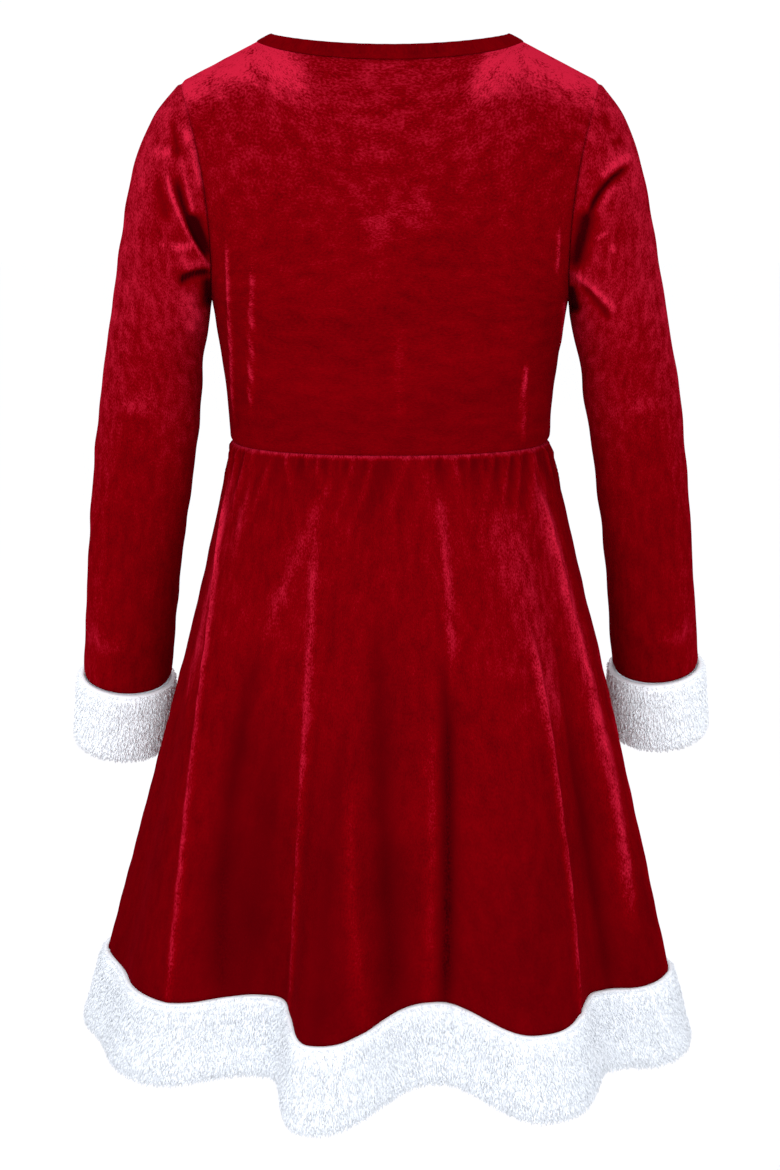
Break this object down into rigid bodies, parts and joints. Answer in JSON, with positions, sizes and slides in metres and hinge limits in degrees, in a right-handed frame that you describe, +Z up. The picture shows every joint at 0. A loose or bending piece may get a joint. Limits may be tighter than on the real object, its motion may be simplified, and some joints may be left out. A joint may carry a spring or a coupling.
{
  "type": "plush-trimmed long-sleeved velvet costume dress",
  "caption": "Long-sleeved velvet costume dress, hollow as if worn, with a gathered skirt and wide plush bands at the cuffs and hem.",
  "frame": {"origin": "middle of the neck opening, level with the inner ends of the shoulder seams, where the wearer's neck and shoulders hold the dress", "axes": "+X towards the wearer's left sleeve, +Y towards the back of the dress, +Z up; the front faces -Y"},
  "size_m": [0.5035, 0.3464, 0.7735],
  "materials": {
    "velvet": "deep red crushed stretch velvet",
    "plush": "white short-pile plush on a knitted backing"
  },
  "bodies": {
    "root": {"bodice_back": "velvet", "bodice_front": "velvet", "neck_binding": "velvet", "sleeve_left": "velvet", "sleeve_right": "velvet", "cuff_left": "plush", "cuff_right": "plush", "skirt_back": "velvet", "skirt_front": "velvet", "hem_band_back": "plush", "hem_band_front": "plush"}
  },
  "joints": []
}
